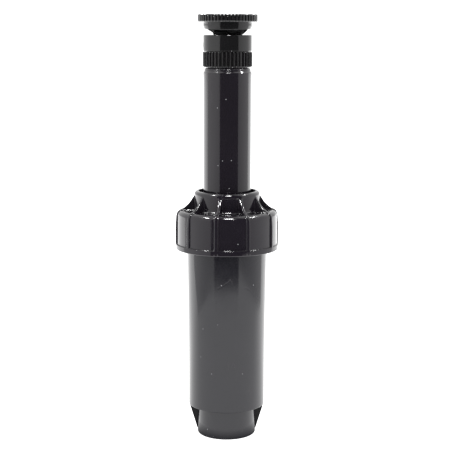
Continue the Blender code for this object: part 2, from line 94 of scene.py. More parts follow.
def filleted(points, steps=4):
    """A closed outline of (radius, z, fillet radius) corners, its fillets made of short chords."""
    made = []
    count = len(points)
    for i, (r, z, fillet) in enumerate(points):
        corner = Vector((r, z))
        if fillet == 0:
            made.append((r, z))
            continue
        before = Vector(points[i - 1][:2]) - corner
        after = Vector(points[(i + 1) % count][:2]) - corner
        half = before.angle(after) / 2
        reach = min(fillet / math.tan(half), 0.49 * before.length, 0.49 * after.length)
        radius = reach * math.tan(half)
        a = corner + before.normalized() * reach
        b = corner + after.normalized() * reach
        middle = corner + (before.normalized() + after.normalized()).normalized() * (
            radius / math.sin(half)
        )
        va, vb = a - middle, b - middle
        swing = va.angle(vb)
        for k in range(steps + 1):
            t = k / steps
            share_a, share_b = math.sin((1 - t) * swing), math.sin(t * swing)
            p = middle + (va * share_a + vb * share_b) / math.sin(swing)
            made.append((p.x, p.y))
    return made


def resampled(points, count):
    """The polyline's points at equal steps along it."""
    lengths = [0.0]
    for a, b in zip(points, points[1:]):
        lengths.append(lengths[-1] + math.dist(a, b))
    made = []
    k = 0
    for i in range(count):
        target = lengths[-1] * i / (count - 1)
        while k < len(points) - 2 and lengths[k + 1] < target:
            k += 1
        t = (target - lengths[k]) / (lengths[k + 1] - lengths[k])
        made.append(tuple(a + (b - a) * t for a, b in zip(points[k], points[k + 1])))
    return made


def upright(radius, start, end, count):
    """Evenly spaced points of a straight wall from one height to the other."""
    return [(radius, start + (end - start) * i / (count - 1)) for i in range(count)]


def oval(r, z, wide, high, count):
    """A quarter of an oval about (r, z), from just past its top out to its side."""
    turns = [math.pi / 2 * i / count for i in range(1, count + 1)]
    return [(r + wide * math.sin(t), z + high * math.cos(t)) for t in turns]


def flip(points):
    return list(reversed(points))


def smooth(t):
    t = min(1.0, max(0.0, t))
    return t * t * (3 - 2 * t)


# Meshes


def grid_mesh(columns):
    """A closed mesh from columns of (x, y, z) points in millimetres that close both ways."""
    mesh = bmesh.new()
    made = []
    on_axis = {}
    for column in columns:
        verts = []
        for i, (x, y, z) in enumerate(column):
            if abs(x) < 1e-7 and abs(y) < 1e-7:
                if i not in on_axis:
                    on_axis[i] = mesh.verts.new((0, 0, z * MM))
                verts.append(on_axis[i])
            else:
                verts.append(mesh.verts.new((x * MM, y * MM, z * MM)))
        made.append(verts)
    rows = len(made[0])
    for i, column in enumerate(made):
        following = made[(i + 1) % len(made)]
        for j in range(rows):
            k = (j + 1) % rows
            corners = []
            for vertex in (column[j], column[k], following[k], following[j]):
                if vertex not in corners:
                    corners.append(vertex)
            if len(corners) > 2:
                mesh.faces.new(corners)
    bmesh.ops.recalc_face_normals(mesh, faces=mesh.faces)
    return mesh


def polar(angle, radius, z):
    a = math.radians(angle)
    return radius * math.sin(a), -radius * math.cos(a), z


def lathe(outline, segments, shape=None):
    """The outline turned about Z. shape(angle, radius, z, row) may move each point."""
    columns = []
    for i in range(segments):
        angle = 360.0 * i / segments
        column = []
        for row, (r, z) in enumerate(outline):
            if shape and r > 0:
                r, z = shape(angle, r, z, row)
            column.append(polar(angle, r, z))
        columns.append(column)
    return grid_mesh(columns)


def toothed(low, high, teeth, phases, start=0.0, warp=None):
    """Blends two outlines of equal length round the axis.

    phases lists (part of a pitch, share of high) for the columns of one tooth.
    """
    columns = []
    for tooth in range(teeth):
        for phase, share in phases:
            angle = start + 360.0 * (tooth + phase) / teeth
            column = []
            for (r0, z0), (r1, z1) in zip(low, high):
                r, z = r0 + (r1 - r0) * share, z0 + (z1 - z0) * share
                if warp and r > 0:
                    r, z = warp(angle % 360.0, r, z)
                column.append(polar(angle, r, z))
            columns.append(column)
    return grid_mesh(columns)


def finned(panel, fin, fins, start, sides, between):
    """Like toothed, for fins of constant thickness with so many columns of panel between them.

    sides lists (distance from the fin's middle, share of fin) for the columns of one fin.
    """
    step = 360.0 / fins
    edge = sides[-1][0]
    columns = []
    for i in range(fins):
        middle = start + i * step
        for offset, share in sides:
            column = []
            for (r0, z0), (r1, z1) in zip(panel, fin):
                r, z = r0 + (r1 - r0) * share, z0 + (z1 - z0) * share
                column.append(polar(middle + math.degrees(math.asin(offset / r)), r, z))
            columns.append(column)
        for k in range(1, between + 1):
            t = k / (between + 1)
            column = []
            for r, z in panel:
                lean = math.degrees(math.asin(edge / r))
                column.append(polar(middle + lean + (step - 2 * lean) * t, r, z))
            columns.append(column)
    return grid_mesh(columns)


def add_web(mesh, angle, side, half):
    """A flat web with rounded edges: side lists its (radius, z) corners, half is half its thickness."""
    a = math.radians(angle)
    sin, cos = math.sin(a), math.cos(a)
    middle = (sum(p[0] for p in side) / len(side), sum(p[1] for p in side) / len(side))
    rounding = [(half, 0.94), (half - 0.12, 0.985), (half - 0.3, 1.0)]
    rings = []
    for offset, shrink in [(-depth, shrink) for depth, shrink in rounding] + flip(rounding):
        ring = []
        for r, z in side:
            r = middle[0] + (r - middle[0]) * shrink
            z = middle[1] + (z - middle[1]) * shrink
            x, y = r * sin + offset * cos, -r * cos + offset * sin
            ring.append(mesh.verts.new((x * MM, y * MM, z * MM)))
        rings.append(ring)
    faces = [mesh.faces.new(rings[0]), mesh.faces.new(flip(rings[-1]))]
    for here, there in zip(rings, rings[1:]):
        for i in range(len(side)):
            k = (i + 1) % len(side)
            faces.append(mesh.faces.new((here[i], there[i], there[k], here[k])))
    bmesh.ops.recalc_face_normals(mesh, faces=faces)


def piece(name, mesh, material, body, node, sharp=50):
    """Puts the mesh in the scene as a piece that rides on a body and stands for a CAD node."""
    data = bpy.data.meshes.new(name)
    mesh.to_mesh(data)
    mesh.free()
    data.materials.append(material)
    data.shade_smooth()
    data.set_sharp_from_angle(angle=math.radians(sharp))
    obj = bpy.data.objects.new(name, data)
    bpy.context.scene.collection.objects.link(obj)
    normals = obj.modifiers.new("normals", "WEIGHTED_NORMAL")
    normals.keep_sharp = True
    if body:
        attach(obj, body)
    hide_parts(node)
    return obj


# Finishes


class Nodes:
    """Short calls for one material's node tree."""

    def __init__(self, material):
        self.tree = material.node_tree
        self.shader = self.tree.nodes["Principled BSDF"]
        self.place = self.tree.nodes.new("ShaderNodeTexCoord").outputs["Object"]

    def new(self, kind, **values):
        node = self.tree.nodes.new(kind)
        for key, value in values.items():
            setattr(node, key, value)
        return node

    def link(self, source, target):
        self.tree.links.new(source, target)

    def mapped(self, scale=(1, 1, 1), location=(0, 0, 0), rotation=(0, 0, 0)):
        node = self.new("ShaderNodeMapping")
        node.inputs["Scale"].default_value = scale
        node.inputs["Location"].default_value = location
        node.inputs["Rotation"].default_value = rotation
        self.link(self.place, node.inputs["Vector"])
        return node.outputs["Vector"]

    def noise(self, scale, detail=3.0, rough=0.5, vector=None, distortion=0.0):
        node = self.new("ShaderNodeTexNoise")
        node.inputs["Scale"].default_value = scale
        node.inputs["Detail"].default_value = detail
        node.inputs["Roughness"].default_value = rough
        node.inputs["Distortion"].default_value = distortion
        self.link(vector or self.place, node.inputs["Vector"])
        return node.outputs["Fac"]

    def cells(self, scale, feature="F1", vector=None):
        node = self.new("ShaderNodeTexVoronoi", feature=feature)
        node.inputs["Scale"].default_value = scale
        self.link(vector or self.place, node.inputs["Vector"])
        return node

    def ranged(self, value, low, high, to_low=0.0, to_high=1.0):
        node = self.new("ShaderNodeMapRange")
        node.inputs["From Min"].default_value = low
        node.inputs["From Max"].default_value = high
        node.inputs["To Min"].default_value = to_low
        node.inputs["To Max"].default_value = to_high
        self.link(value, node.inputs["Value"])
        return node.outputs["Result"]

    def maths(self, operation, a, b):
        node = self.new("ShaderNodeMath", operation=operation)
        for value, socket in ((a, node.inputs[0]), (b, node.inputs[1])):
            if isinstance(value, (int, float)):
                socket.default_value = value
            else:
                self.link(value, socket)
        return node.outputs[0]

    def mixed(self, factor, a, b):
        node = self.new("ShaderNodeMix", data_type="RGBA")
        self.link(factor, node.inputs["Factor"])
        for value, socket in ((a, node.inputs["A"]), (b, node.inputs["B"])):
            if isinstance(value, tuple):
                socket.default_value = (*value, 1.0)
            else:
                self.link(value, socket)
        return node.outputs["Result"]

    def bump(self, height, distance, under=None):
        node = self.new("ShaderNodeBump")
        node.inputs["Strength"].default_value = 1.0
        node.inputs["Distance"].default_value = distance
        self.link(height, node.inputs["Height"])
        if under:
            self.link(under, node.inputs["Normal"])
        return node.outputs["Normal"]


def new_material(name):
    made = bpy.data.materials.new(name)
    made.use_nodes = True
    return made, Nodes(made)


def hair_scratches(n, seed, shifted):
    """Distance from the thin borders of long cells, and a mask of those borders in patches."""
    along = n.mapped(scale=(1, 1, 0.22), location=(seed, 0, 0), rotation=(0.25, 0.4, seed))
    lines = n.cells(150, "DISTANCE_TO_EDGE", along).outputs["Distance"]
    patches = n.ranged(n.noise(85, 2, 0.5, shifted), 0.60, 0.72)
    return lines, n.maths("MULTIPLY", n.ranged(lines, 0.012, 0.0), patches)


def worn_edges(n, geometry, shifted):
    """A mask of the convex edges, broken up by noise."""
    edges = n.ranged(geometry.outputs["Pointiness"], 0.53, 0.60)
    return n.maths("MULTIPLY", edges, n.ranged(n.noise(260, 3, 0.6, shifted), 0.35, 0.75))


def dust_specks(n, shifted, share, spots):
    """One grain in a share of the cells, and one at each of the spots."""
    grains = n.cells(430, vector=shifted)
    near = n.ranged(grains.outputs["Distance"], 0.13, 0.06)
    chosen = n.new("ShaderNodeSeparateColor")
    n.link(grains.outputs["Color"], chosen.inputs["Color"])
    speck = n.maths("MULTIPLY", near, n.maths("GREATER_THAN", chosen.outputs[0], 1.0 - share))
    for spot in spots:
        away = n.new("ShaderNodeVectorMath", operation="DISTANCE")
        n.link(n.place, away.inputs[0])
        away.inputs[1].default_value = [v * MM for v in spot]
        grain = n.ranged(away.outputs["Value"], 0.34 * MM, 0.16 * MM, 0.0, 0.7)
        speck = n.maths("MAXIMUM", speck, grain)
    return speck


def dust_film(n, geometry):
    """A mask of the faces that point up, mottled."""
    facing = n.new("ShaderNodeSeparateXYZ")
    n.link(geometry.outputs["Normal"], facing.inputs["Vector"])
    mottle = n.ranged(n.noise(700, 4, 0.7), 0.4, 0.8)
    return n.maths("MULTIPLY", n.ranged(facing.outputs["Z"], 0.55, 0.98), mottle)


def moulded_plastic(name, seed, dark, light, rough, waviness, specks, spots):
    """Glossy black moulding with faint flow waviness, smudges, scratches, dust and worn edges."""
    made, n = new_material(name)
    shifted = n.mapped(location=(seed, seed * 1.7, seed * 0.6))
    geometry = n.new("ShaderNodeNewGeometry")
    lines, scratch = hair_scratches(n, seed, shifted)
    edges = worn_edges(n, geometry, shifted)
    speck = dust_specks(n, shifted, specks, spots)
    film = dust_film(n, geometry)

    tone = n.ranged(n.noise(55, 4, 0.6, shifted), 0.3, 0.7)
    colour = n.mixed(tone, dark, light)
    gloss = n.ranged(n.noise(38, 5, 0.62, shifted, 0.6), 0.35, 0.75, rough, rough + 0.10)
    for mask, strength, tint, duller in (
        (scratch, 0.2, (0.10, 0.10, 0.10), 0.25),
        (edges, 0.5, (0.05, 0.05, 0.052), 0.12),
        (speck, 0.8, (0.45, 0.45, 0.47), 0.5),
        (film, 0.22, (0.09, 0.09, 0.085), 0.3),
    ):
        colour = n.mixed(n.maths("MULTIPLY", mask, strength), colour, tint)
        gloss = n.maths("ADD", gloss, n.maths("MULTIPLY", mask, duller))
    n.link(colour, n.shader.inputs["Base Color"])
    n.link(gloss, n.shader.inputs["Roughness"])
    n.shader.inputs["IOR"].default_value = 1.52

    flow = n.noise(24, 2, 0.4, n.mapped(scale=(1, 1, 0.35), location=(0, seed, 0)))
    normal = n.bump(flow, waviness)
    normal = n.bump(n.noise(900, 3, 0.55, shifted), 0.0000016, normal)
    normal = n.bump(n.ranged(lines, 0.0, 0.02), 0.000004, normal)
    normal = n.bump(speck, 0.00005, normal)
    n.link(normal, n.shader.inputs["Normal"])
    return made


def satin_plastic(name, seed):
    """Inner mouldings: duller, with a fine grain."""
    made, n = new_material(name)
    shifted = n.mapped(location=(seed, seed, 0))
    tone = n.ranged(n.noise(160, 4, 0.6, shifted), 0.3, 0.7)
    colour = n.mixed(tone, (0.012, 0.012, 0.013), (0.024, 0.024, 0.025))
    rough = n.ranged(n.noise(90, 4, 0.6, shifted), 0.3, 0.7, 0.28, 0.45)
    n.link(colour, n.shader.inputs["Base Color"])
    n.link(rough, n.shader.inputs["Roughness"])
    n.link(n.bump(n.noise(2600, 3, 0.6), 0.000006), n.shader.inputs["Normal"])
    return made


def rubber(name, seed):
    """Soft black rubber with a bloom of paler patches."""
    made, n = new_material(name)
    shifted = n.mapped(location=(0, seed, seed))
    bloom = n.ranged(n.noise(220, 5, 0.65, shifted), 0.4, 0.75)
    colour = n.mixed(bloom, (0.010, 0.010, 0.010), (0.028, 0.028, 0.027))
    rough = n.ranged(n.noise(300, 3, 0.5, shifted), 0.3, 0.7, 0.55, 0.78)
    n.link(colour, n.shader.inputs["Base Color"])
    n.link(rough, n.shader.inputs["Roughness"])
    n.link(n.bump(n.noise(3200, 4, 0.6), 0.00001), n.shader.inputs["Normal"])
    return made


def stainless(name, turned):
    """Stainless steel: turning marks round Z, or drawn lines for the spring."""
    made, n = new_material(name)
    stretch = (1, 1, 14) if turned else (9, 9, 1)
    marks = n.noise(900, 4, 0.7, n.mapped(scale=stretch))
    stain = n.ranged(n.noise(420, 4, 0.6), 0.45, 0.8)
    n.link(n.mixed(stain, (0.62, 0.61, 0.59), (0.40, 0.38, 0.35)), n.shader.inputs["Base Color"])
    n.link(n.ranged(marks, 0.3, 0.7, 0.18, 0.38), n.shader.inputs["Roughness"])
    n.shader.inputs["Metallic"].default_value = 1.0
    n.link(n.bump(marks, 0.000005), n.shader.inputs["Normal"])
    return made


# Grains of dirt that stand out on the front, as places in millimetres
BARREL_SPOTS = [
    (-5.2, -22.0, 69.3),
    (-13.5, -18.0, 66.0),
    (-14.8, -16.8, 49.3),
    (-8.6, -20.6, 40.4),
    (9.1, -20.4, 40.4),
    (15.0, -17.1, 91.3),
    (-11.0, -12.8, 5.0),
]
CAP_SPOTS = [(-5.5, -28.2, 113.0), (6.1, -28.0, 116.5)]
STEM_SPOTS = [
    (-5.5, -12.4, 190.5),
    (-0.8, -13.6, 195.3),
    (-2.6, -13.4, 161.1),
    (2.3, -13.4, 161.3),
    (-5.1, -12.6, 158.4),
    (1.1, -13.6, 145.6),
]
NOZZLE_SPOTS = [(0.8, -13.8, 218.8), (2.2, -13.4, 221.6)]

BARREL_BLACK = moulded_plastic(
    "barrel_black",
    seed=0.31,
    dark=(0.0078, 0.0075, 0.0108),
    light=(0.0108, 0.0103, 0.0138),
    rough=0.085,
    waviness=0.00016,
    specks=0.010,
    spots=BARREL_SPOTS,
)
# The casing's plastic again, darker and with less reflection on the webs: painted shade, not a plastic
# of their own
WEB_PAINTED_SHADE = moulded_plastic(
    "web_painted_shade",
    seed=0.83,
    dark=(0.0045, 0.0045, 0.0055),
    light=(0.0070, 0.0068, 0.0080),
    rough=0.20,
    waviness=0.00005,
    specks=0.010,
    spots=[],
)
# Weaker reflection on the webs, part of their painted shade
WEB_PAINTED_SHADE.node_tree.nodes["Principled BSDF"].inputs["Specular IOR Level"].default_value = 0.12
CAP_BLACK = moulded_plastic(
    "cap_black",
    seed=1.17,
    dark=(0.0092, 0.0076, 0.0110),
    light=(0.0120, 0.0102, 0.0140),
    rough=0.055,
    waviness=0.00012,
    specks=0.006,
    spots=CAP_SPOTS,
)
STEM_BLACK = moulded_plastic(
    "stem_black",
    seed=2.43,
    dark=(0.0090, 0.0074, 0.0104),
    light=(0.0116, 0.0098, 0.0132),
    rough=0.060,
    waviness=0.00008,
    specks=0.012,
    spots=STEM_SPOTS,
)
NOZZLE_BLACK = moulded_plastic(
    "nozzle_black",
    seed=3.71,
    dark=(0.0058, 0.0058, 0.0062),
    light=(0.0084, 0.0082, 0.0090),
    rough=0.075,
    waviness=0.00006,
    specks=0.012,
    spots=NOZZLE_SPOTS,
)
INNER_BLACK = satin_plastic("inner_black", 0.53)
SEAL_RUBBER = rubber("seal_rubber", 0.77)
SCREW_STEEL = stainless("screw_steel", turned=True)
SPRING_STEEL = stainless("spring_steel", turned=False)


# The casing


def threaded(wall, depth, pitch, first, last):
    """A shape that raises a right-handed thread on a wall's rows, between the heights first and last."""

    def at(angle, r, z, row):
        if row not in wall:
            return r, z
        phase = ((z - first) / pitch - angle / 360.0) % 1.0
        ridge = smooth((abs(phase - 0.5) - 0.08) / 0.25)
        fade = smooth((z - first) / (0.5 * pitch)) * smooth((last - z) / (0.8 * pitch))
        return r + depth * ridge * fade, z

    return at


def side_webs():
    """The two flat webs from the barrel's foot down to the inlet, in the casing's plastic made darker
    and duller as painted shade.
    """
    webs = bmesh.new()
    side = [
        (16.3, 17.9),
        (21.75, 17.9),
        (21.75, 17.0),
        (21.4, 16.0),
        (17.15, 2.3),
        (16.7, 1.9),
        (16.3, 1.9),
    ]
    for angle in (90.0, 270.0):
        add_web(webs, angle, side, 0.95)
    return piece("side_webs", webs, WEB_PAINTED_SHADE, "housing", "body_casing")


def casing():
    """Barrel, threaded collar under the cap, and inlet with its pipe thread."""
    outer = [
        (15.0, 0.0, 0),
        (INLET_RADIUS, 0.0, 0.7),
        (INLET_RADIUS - 0.03, BARREL_FOOT, 0.35),
        (22.1, BARREL_FOOT, 0.6),
        (22.2, 49.0, 0),
        (22.5, 78.8, 0),
        (22.92, 106.0, 0),
        (22.97, 111.2, 0.3),
        (COLLAR_RADIUS, 112.2, 0.3),
    ]
    collar = upright(COLLAR_RADIUS, 113.2, 126.0, 60)
    bore = [
        (COLLAR_RADIUS, 127.8, 0.5),
        (19.8, 127.8, 0.4),
        (19.8, GUIDE_RIB_TOP + 0.4, 0),
        (19.8, GUIDE_RIB_TOP - 0.4, 0),
        (19.3, GUIDE_RIB_FOOT + 0.1, 0),
        (19.3, GUIDE_RIB_FOOT - 0.1, 0),
        (19.3, 20.0, 0.4),
        (14.2, 20.0, 0.3),
        (14.2, 15.7, 0.4),
        (8.5, 15.7, 0.3),
        (8.5, 13.6, 0.3),
        (10.6, 13.6, 0.2),
    ]
    inlet = upright(10.6, 12.9, 1.6, 90)

    rows = filleted(outer + [(COLLAR_RADIUS, 113.0, 0)])
    first_collar = len(rows)
    rows += collar
    last_collar = len(rows)
    rows += filleted([(COLLAR_RADIUS, 126.2, 0)] + bore + [(10.6, 13.0, 0)])
    first_inlet = len(rows)
    rows += inlet
    last_inlet = len(rows)
    rows += [(10.7, 1.2), (11.5, 0.12), (11.65, 0.02), (11.9, 0.0)]
    collar_shape = threaded(range(first_collar, last_collar), 1.4, COLLAR_PITCH, 113.6, 125.6)
    inlet_shape = threaded(range(first_inlet, last_inlet), -1.35, INLET_PITCH, 0.4, 12.6)

    def shape(angle, r, z, row):
        r, z = collar_shape(angle, r, z, row)
        r, z = inlet_shape(angle, r, z, row)
        if row < first_collar and 0.8 < z < 110.5 and r > 16.0:
            # Mould parting lines, front and back, stronger on the inlet
            away = min(abs(angle - PARTING_LINE), abs(angle - PARTING_LINE - 180.0))
            height = 0.11 if z < 17.0 else 0.033
            r += height * smooth(1.0 - away / 1.1)
        if 15.9 < r < 20.0 and GUIDE_RIB_FOOT < z < GUIDE_RIB_TOP:
            # Guide ribs in the bore
            turn = min(abs((angle - a + 180.0) % 360.0 - 180.0) for a in (0, 90, 180, 270))
            r += (17.4 - r) * smooth((5.2 - turn) / 1.2)
        return r, z

    mesh = lathe(rows, STEPS, shape)
    return piece("casing", mesh, BARREL_BLACK, "housing", "body_casing")


def screw_cap():
    """Neck with ten concave fins that run down the skirt as grip ribs to a rim."""
    mouth = [
        (14.5, 137.6, 0.2),
        (14.5, 138.6, 0.2),
        (15.0, 139.3, 0.2),
        (16.28, 139.3, 0.2),
        (16.28, RIM_TOP, 0.4),
        (17.1, RIM_TOP, 0),
    ]
    underside = [
        (28.75, 112.8, 0.2),
        (FLANGE_RADIUS, 112.55, 0.3),
        (FLANGE_RADIUS, 109.5, 0.55),
        (26.3, 109.5, 0.2),
        (25.7, 110.5, 0.1),
        (25.7, 129.4, 0.3),
        (16.4, 129.4, 0.2),
        (16.4, 137.6, 0.15),
    ]
    ledge = 11  # the tail's rows from the skirt out to the flange's edge
    rim = oval(17.1, RIM_TOP - 2.1, 1.7, 2.1, 7)
    head = filleted(mouth)[1:] + rim
    tail = filleted([(28.72, 113.5, 0)] + underside + [(14.8, 137.6, 0)])[:-1]
    rib_tail = [(FLANGE_RADIUS, z) for _, z in tail[:ledge]] + tail[ledge:]
    neck_wall = [
        (18.7, 140.4),
        (18.5, 136.0),
        (18.4, 133.1),
        (18.5, 132.55),
        (18.75, 132.15),
        (19.15, 131.93),
        (19.7, 131.86),
        (22.5, 131.86),
        (25.7, 131.85),
    ]
    fin_edge = [
        (18.8, 140.4),
        (19.1, 139.85),
        (19.6, 139.1),
        (20.15, 138.3),
        (20.8, 137.25),
        (21.6, 136.15),
        (22.7, 134.98),
        (24.0, 133.8),
        (25.3, 132.85),
        (26.2, 132.35),
    ]
    panel_shoulder = oval(25.7, 129.1, 2.78, 2.75, 9)
    fin_shoulder = oval(26.2, 127.6, 3.1, 4.75, 9)
    panel_skirt = resampled([(28.5, 128.4), (28.65, 125.0), (28.72, 114.0)], 6)
    fin_skirt = resampled([(29.32, 127.2), (29.55, 124.0), (FLANGE_RADIUS, 114.0)], 6)
    panel = head + resampled(neck_wall, 22) + panel_shoulder + panel_skirt + tail
    fin = head + resampled(fin_edge, 22) + fin_shoulder + fin_skirt + rib_tail
    half = [
        (1.9, 0.0),
        (1.32, 0.0),
        (1.14, 0.05),
        (1.02, 0.3),
        (0.92, 0.75),
        (0.8, 0.95),
        (0.55, 1.0),
    ]
    sides = [(-offset, share) for offset, share in half] + [(0.0, 1.0)] + flip(half)
    mesh = finned(panel, fin, FINS, FIRST_FIN, sides, 9)
    return piece("screw_cap", mesh, CAP_BLACK, "housing", "cap")


def wiper():
    """Rubber wiper seal whose lip nearly meets the riser."""
    outline = filleted(
        [
            (16.1, 134.6, 0.2),
            (16.1, 137.3, 0.2),
            (15.1, 137.3, 0.2),
            (14.7, 136.8, 0.2),
            (14.25, 137.25, 0.1),
            (13.98, 136.95, 0.1),
            (14.5, 135.6, 0.3),
            (14.95, 134.6, 0.2),
        ]
    )
    return piece("wiper", lathe(flip(outline), 160), SEAL_RUBBER, "housing", "wiper_seal")


def spring():
    """The retract spring's coil between the casing and the ratchet ring."""
    wire, mean, turns, steps, sides = 0.6, 14.95, 8.5, 32, 12
    low, high = 119.95, 131.05
    mesh = bmesh.new()
    count = int(turns * steps)
    rings = []
    for i in range(count + 1):
        angle = 360.0 * i / steps
        z = low + (high - low) * i / count
        ring = []
        for j in range(sides):
            around = TAU * j / sides
            x, y, level = polar(angle, mean + wire * math.cos(around), z + wire * math.sin(around))
            ring.append(mesh.verts.new((x * MM, y * MM, level * MM)))
        rings.append(ring)
    for here, there in zip(rings, rings[1:]):
        for j in range(sides):
            k = (j + 1) % sides
            mesh.faces.new((here[j], here[k], there[k], there[j]))
    mesh.faces.new(rings[0])
    mesh.faces.new(flip(rings[-1]))
    bmesh.ops.recalc_face_normals(mesh, faces=mesh.faces)
    obj = piece("spring", mesh, SPRING_STEEL, None, "retract_spring")
    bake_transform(obj)
    weights = []
    for i in range(count + 1):
        weights += [1.0 - i / count] * sides
    return obj


# The riser and the nozzle


def stem():
    """Riser tube with its toothed foot flange, the groove under the nozzle and the top tube, drawn
    without its thread.
    """
    flange_top = 115.5
    rows = filleted(
        [
            (11.0, 109.6, 0.3),
            (STEM_RADIUS, 109.6, 0.4),
            (STEM_RADIUS, 113.8, 0.2),
            (17.0, 113.8, 0.2),
            (17.0, flange_top, 0.2),
            (STEM_RADIUS, flange_top, 0.2),
            (STEM_RADIUS, 209.7, 0.45),
            (13.0, 210.45, 0.2),
            (12.98, 211.45, 0.25),
            (12.4, 212.2, 0.15),
            (11.2, 212.3, 0.1),
            (11.2, 219.3, 0.3),
            (9.4, 219.3, 0.2),
            (9.4, 209.0, 0.3),
            (11.0, 207.0, 0.5),
        ]
    )
    tooth_rows = [(16.4, flange_top), (14.3, flange_top)]
    at = next(i for i, (r, z) in enumerate(rows) if r < 16.9 and z > flange_top - 0.1)
    rows[at:at] = tooth_rows
    step = 360.0 / RATCHET_TEETH

    def shape(angle, r, z, _row):
        if 13.9 < r < 16.95 and flange_top - 0.5 < z < flange_top + 1.5:
            climb = (angle % step) / step
            rise = climb / 0.8 if climb < 0.8 else (1.0 - climb) / 0.2
            z += 0.8 * rise
        return r, z

    mesh = lathe(rows, STEPS, shape)
    return piece("stem", mesh, STEM_BLACK, "riser", "riser_stem")


def ribbed_collar():
    """The nozzle's lower part: ribbed outside, with the web and upper tube inside."""

    def outline(radius, foot):
        return filleted(
            [
                (11.9, 212.6, 0.1),
                (12.85, 212.6, 0.15),
                (foot, 212.72, 0.08),
                (radius, 213.2, 0.18),
                (radius, 221.15, 0.22),
                (11.9, 221.15, 0.1),
                (11.9, 228.4, 0.2),
                (10.3, 228.4, 0.2),
                (10.3, 222.4, 0.3),
                (4.6, 222.4, 0.3),
                (4.6, 224.5, 0.2),
                (3.7, 224.5, 0.2),
                (3.7, 220.5, 0.2),
                (4.9, 220.7, 0.1),
                (11.9, 220.7, 0.2),
            ],
            3,
        )

    ribs = [
        (0.05, 0.0),
        (0.11, 0.06),
        (0.37, 0.86),
        (0.42, 0.97),
        (0.5, 1.0),
        (0.58, 0.97),
        (0.63, 0.86),
        (0.89, 0.06),
        (0.95, 0.0),
    ]
    mesh = toothed(outline(12.75, 12.7), outline(13.85, 13.04), COLLAR_RIBS, ribs, start=2.0)
    return piece("ribbed_collar", mesh, NOZZLE_BLACK, "riser", "nozzle_base")


def sleeve():
    """Smooth ring under the spray gap, with a small raised dot on its left."""
    rows = filleted(
        [
            (12.2, 221.4, 0.15),
            (13.15, 221.4, 0.1),
            (STEM_RADIUS, 221.75, 0.2),
            (STEM_RADIUS, 226.0, 0),
            (STEM_RADIUS, 230.48, 0.32),
            (12.2, 230.48, 0.3),
        ]
    )
    wall = resampled([(STEM_RADIUS, 222.2), (STEM_RADIUS, 229.9)], 24)
    at = next(i for i, point in enumerate(rows) if point[1] == 226.0)
    rows[at : at + 1] = wall

    def shape(angle, r, z, _row):
        if r > STEM_RADIUS - 0.1:
            across = (angle - 272.0) * math.radians(STEM_RADIUS) / 0.9
            along = (z - 224.8) / 1.8
            r += 0.14 * smooth(1.6 - 1.6 * math.hypot(across, along))
        return r, z

    mesh = lathe(rows, STEPS, shape)
    return piece("sleeve", mesh, NOZZLE_BLACK, "riser", "nozzle_sleeve")


def ramped_seat():
    """Arc seat: the ramp in the sleeve's mouth that the deflector's ramp turns over."""
    rows = filleted(
        [
            (8.4, 228.7, 0.1),
            (11.9, 228.7, 0.1),
            (11.9, 229.2, 0.1),
            (9.0, 229.3, 0.1),
            (8.4, 229.3, 0.1),
        ]
    )

    def shape(angle, r, z, _row):
        if r < 9.6 and z > 229.0:
            z += 0.8 * smooth(angle / 356.0) * smooth((360.0 - angle) / 3.0)
        return r, z

    mesh = lathe(flip(rows), 180, shape)
    return piece("ramped_seat", mesh, INNER_BLACK, "riser", "arc_seat")


def spray_cap():
    """Deflector: knurled rim, hub with a sloping lower edge, spiral cone, throat and hollow stem."""

    def outline(radius, top):
        return filleted(
            [
                (1.8, 219.2, 0.1),
                (1.8, 225.6, 0),
                (2.6, 225.6, 0),
                (2.6, 227.8, 0),
                (1.8, 227.8, 0),
                (1.8, 238.3, 0.1),
                (3.6, 238.3, 0.15),
                (3.6, 241.5, 0.25),
                (7.4, 241.55, 0.3),
                (7.9, 240.8, 0.2),
                (14.2, 240.75, 0.2),
                (14.7, top, 0.15),
                (radius - 0.35, top, 0.15),
                (radius, top - 0.5, 0.2),
                (radius, 238.2, 0.2),
                (radius - 0.4, 237.75, 0.12),
                (STEM_RADIUS + 0.02, 237.75, 0.2),
                (STEM_RADIUS, 236.2, 0),
                (13.59, 235.2, 0),
                (13.52, 234.3, 0),
                (13.3, 233.3, 0.15),
                (12.4, 233.0, 0.12),
                (8.4, 230.3, 0.25),
                (8.0, 229.9, 0.15),
                (6.6, 229.5, 0.3),
                (4.6, 227.4, 0.3),
                (3.4, 226.6, 0.1),
                (3.4, 220.3, 0.05),
                (2.9, 220.3, 0.05),
                (2.9, 219.5, 0.05),
                (3.2, 219.2, 0.05),
            ],
            3,
        )

    def warp(angle, r, z):
        # The hub's lower edge is lowest in front; the cone's foot climbs round and drops back there
        if r > 7.7 and z < 236.8:
            climb = angle / 360.0 if angle < 358.5 else (360.0 - angle) / 1.5
            foot = smooth((12.4 - r) / 4.0)
            dip = HUB_DIP * (1.0 - math.cos(math.radians(angle)))
            rise = CONE_CLIMB * climb * foot + dip * (1.0 - foot)
            z += rise * smooth((r - 7.7) / 0.5) * smooth((236.8 - z) / 2.6)
        return r, z

    teeth = [
        (0.02, 0.0),
        (0.24, 0.88),
        (0.29, 1.0),
        (0.5, 1.0),
        (0.71, 1.0),
        (0.76, 0.88),
        (0.98, 0.0),
    ]
    mesh = toothed(outline(15.9, 240.95), outline(16.7, 241.85), RIM_TEETH, teeth, warp=warp)
    return piece("spray_cap", mesh, NOZZLE_BLACK, "spray_head", "deflector")


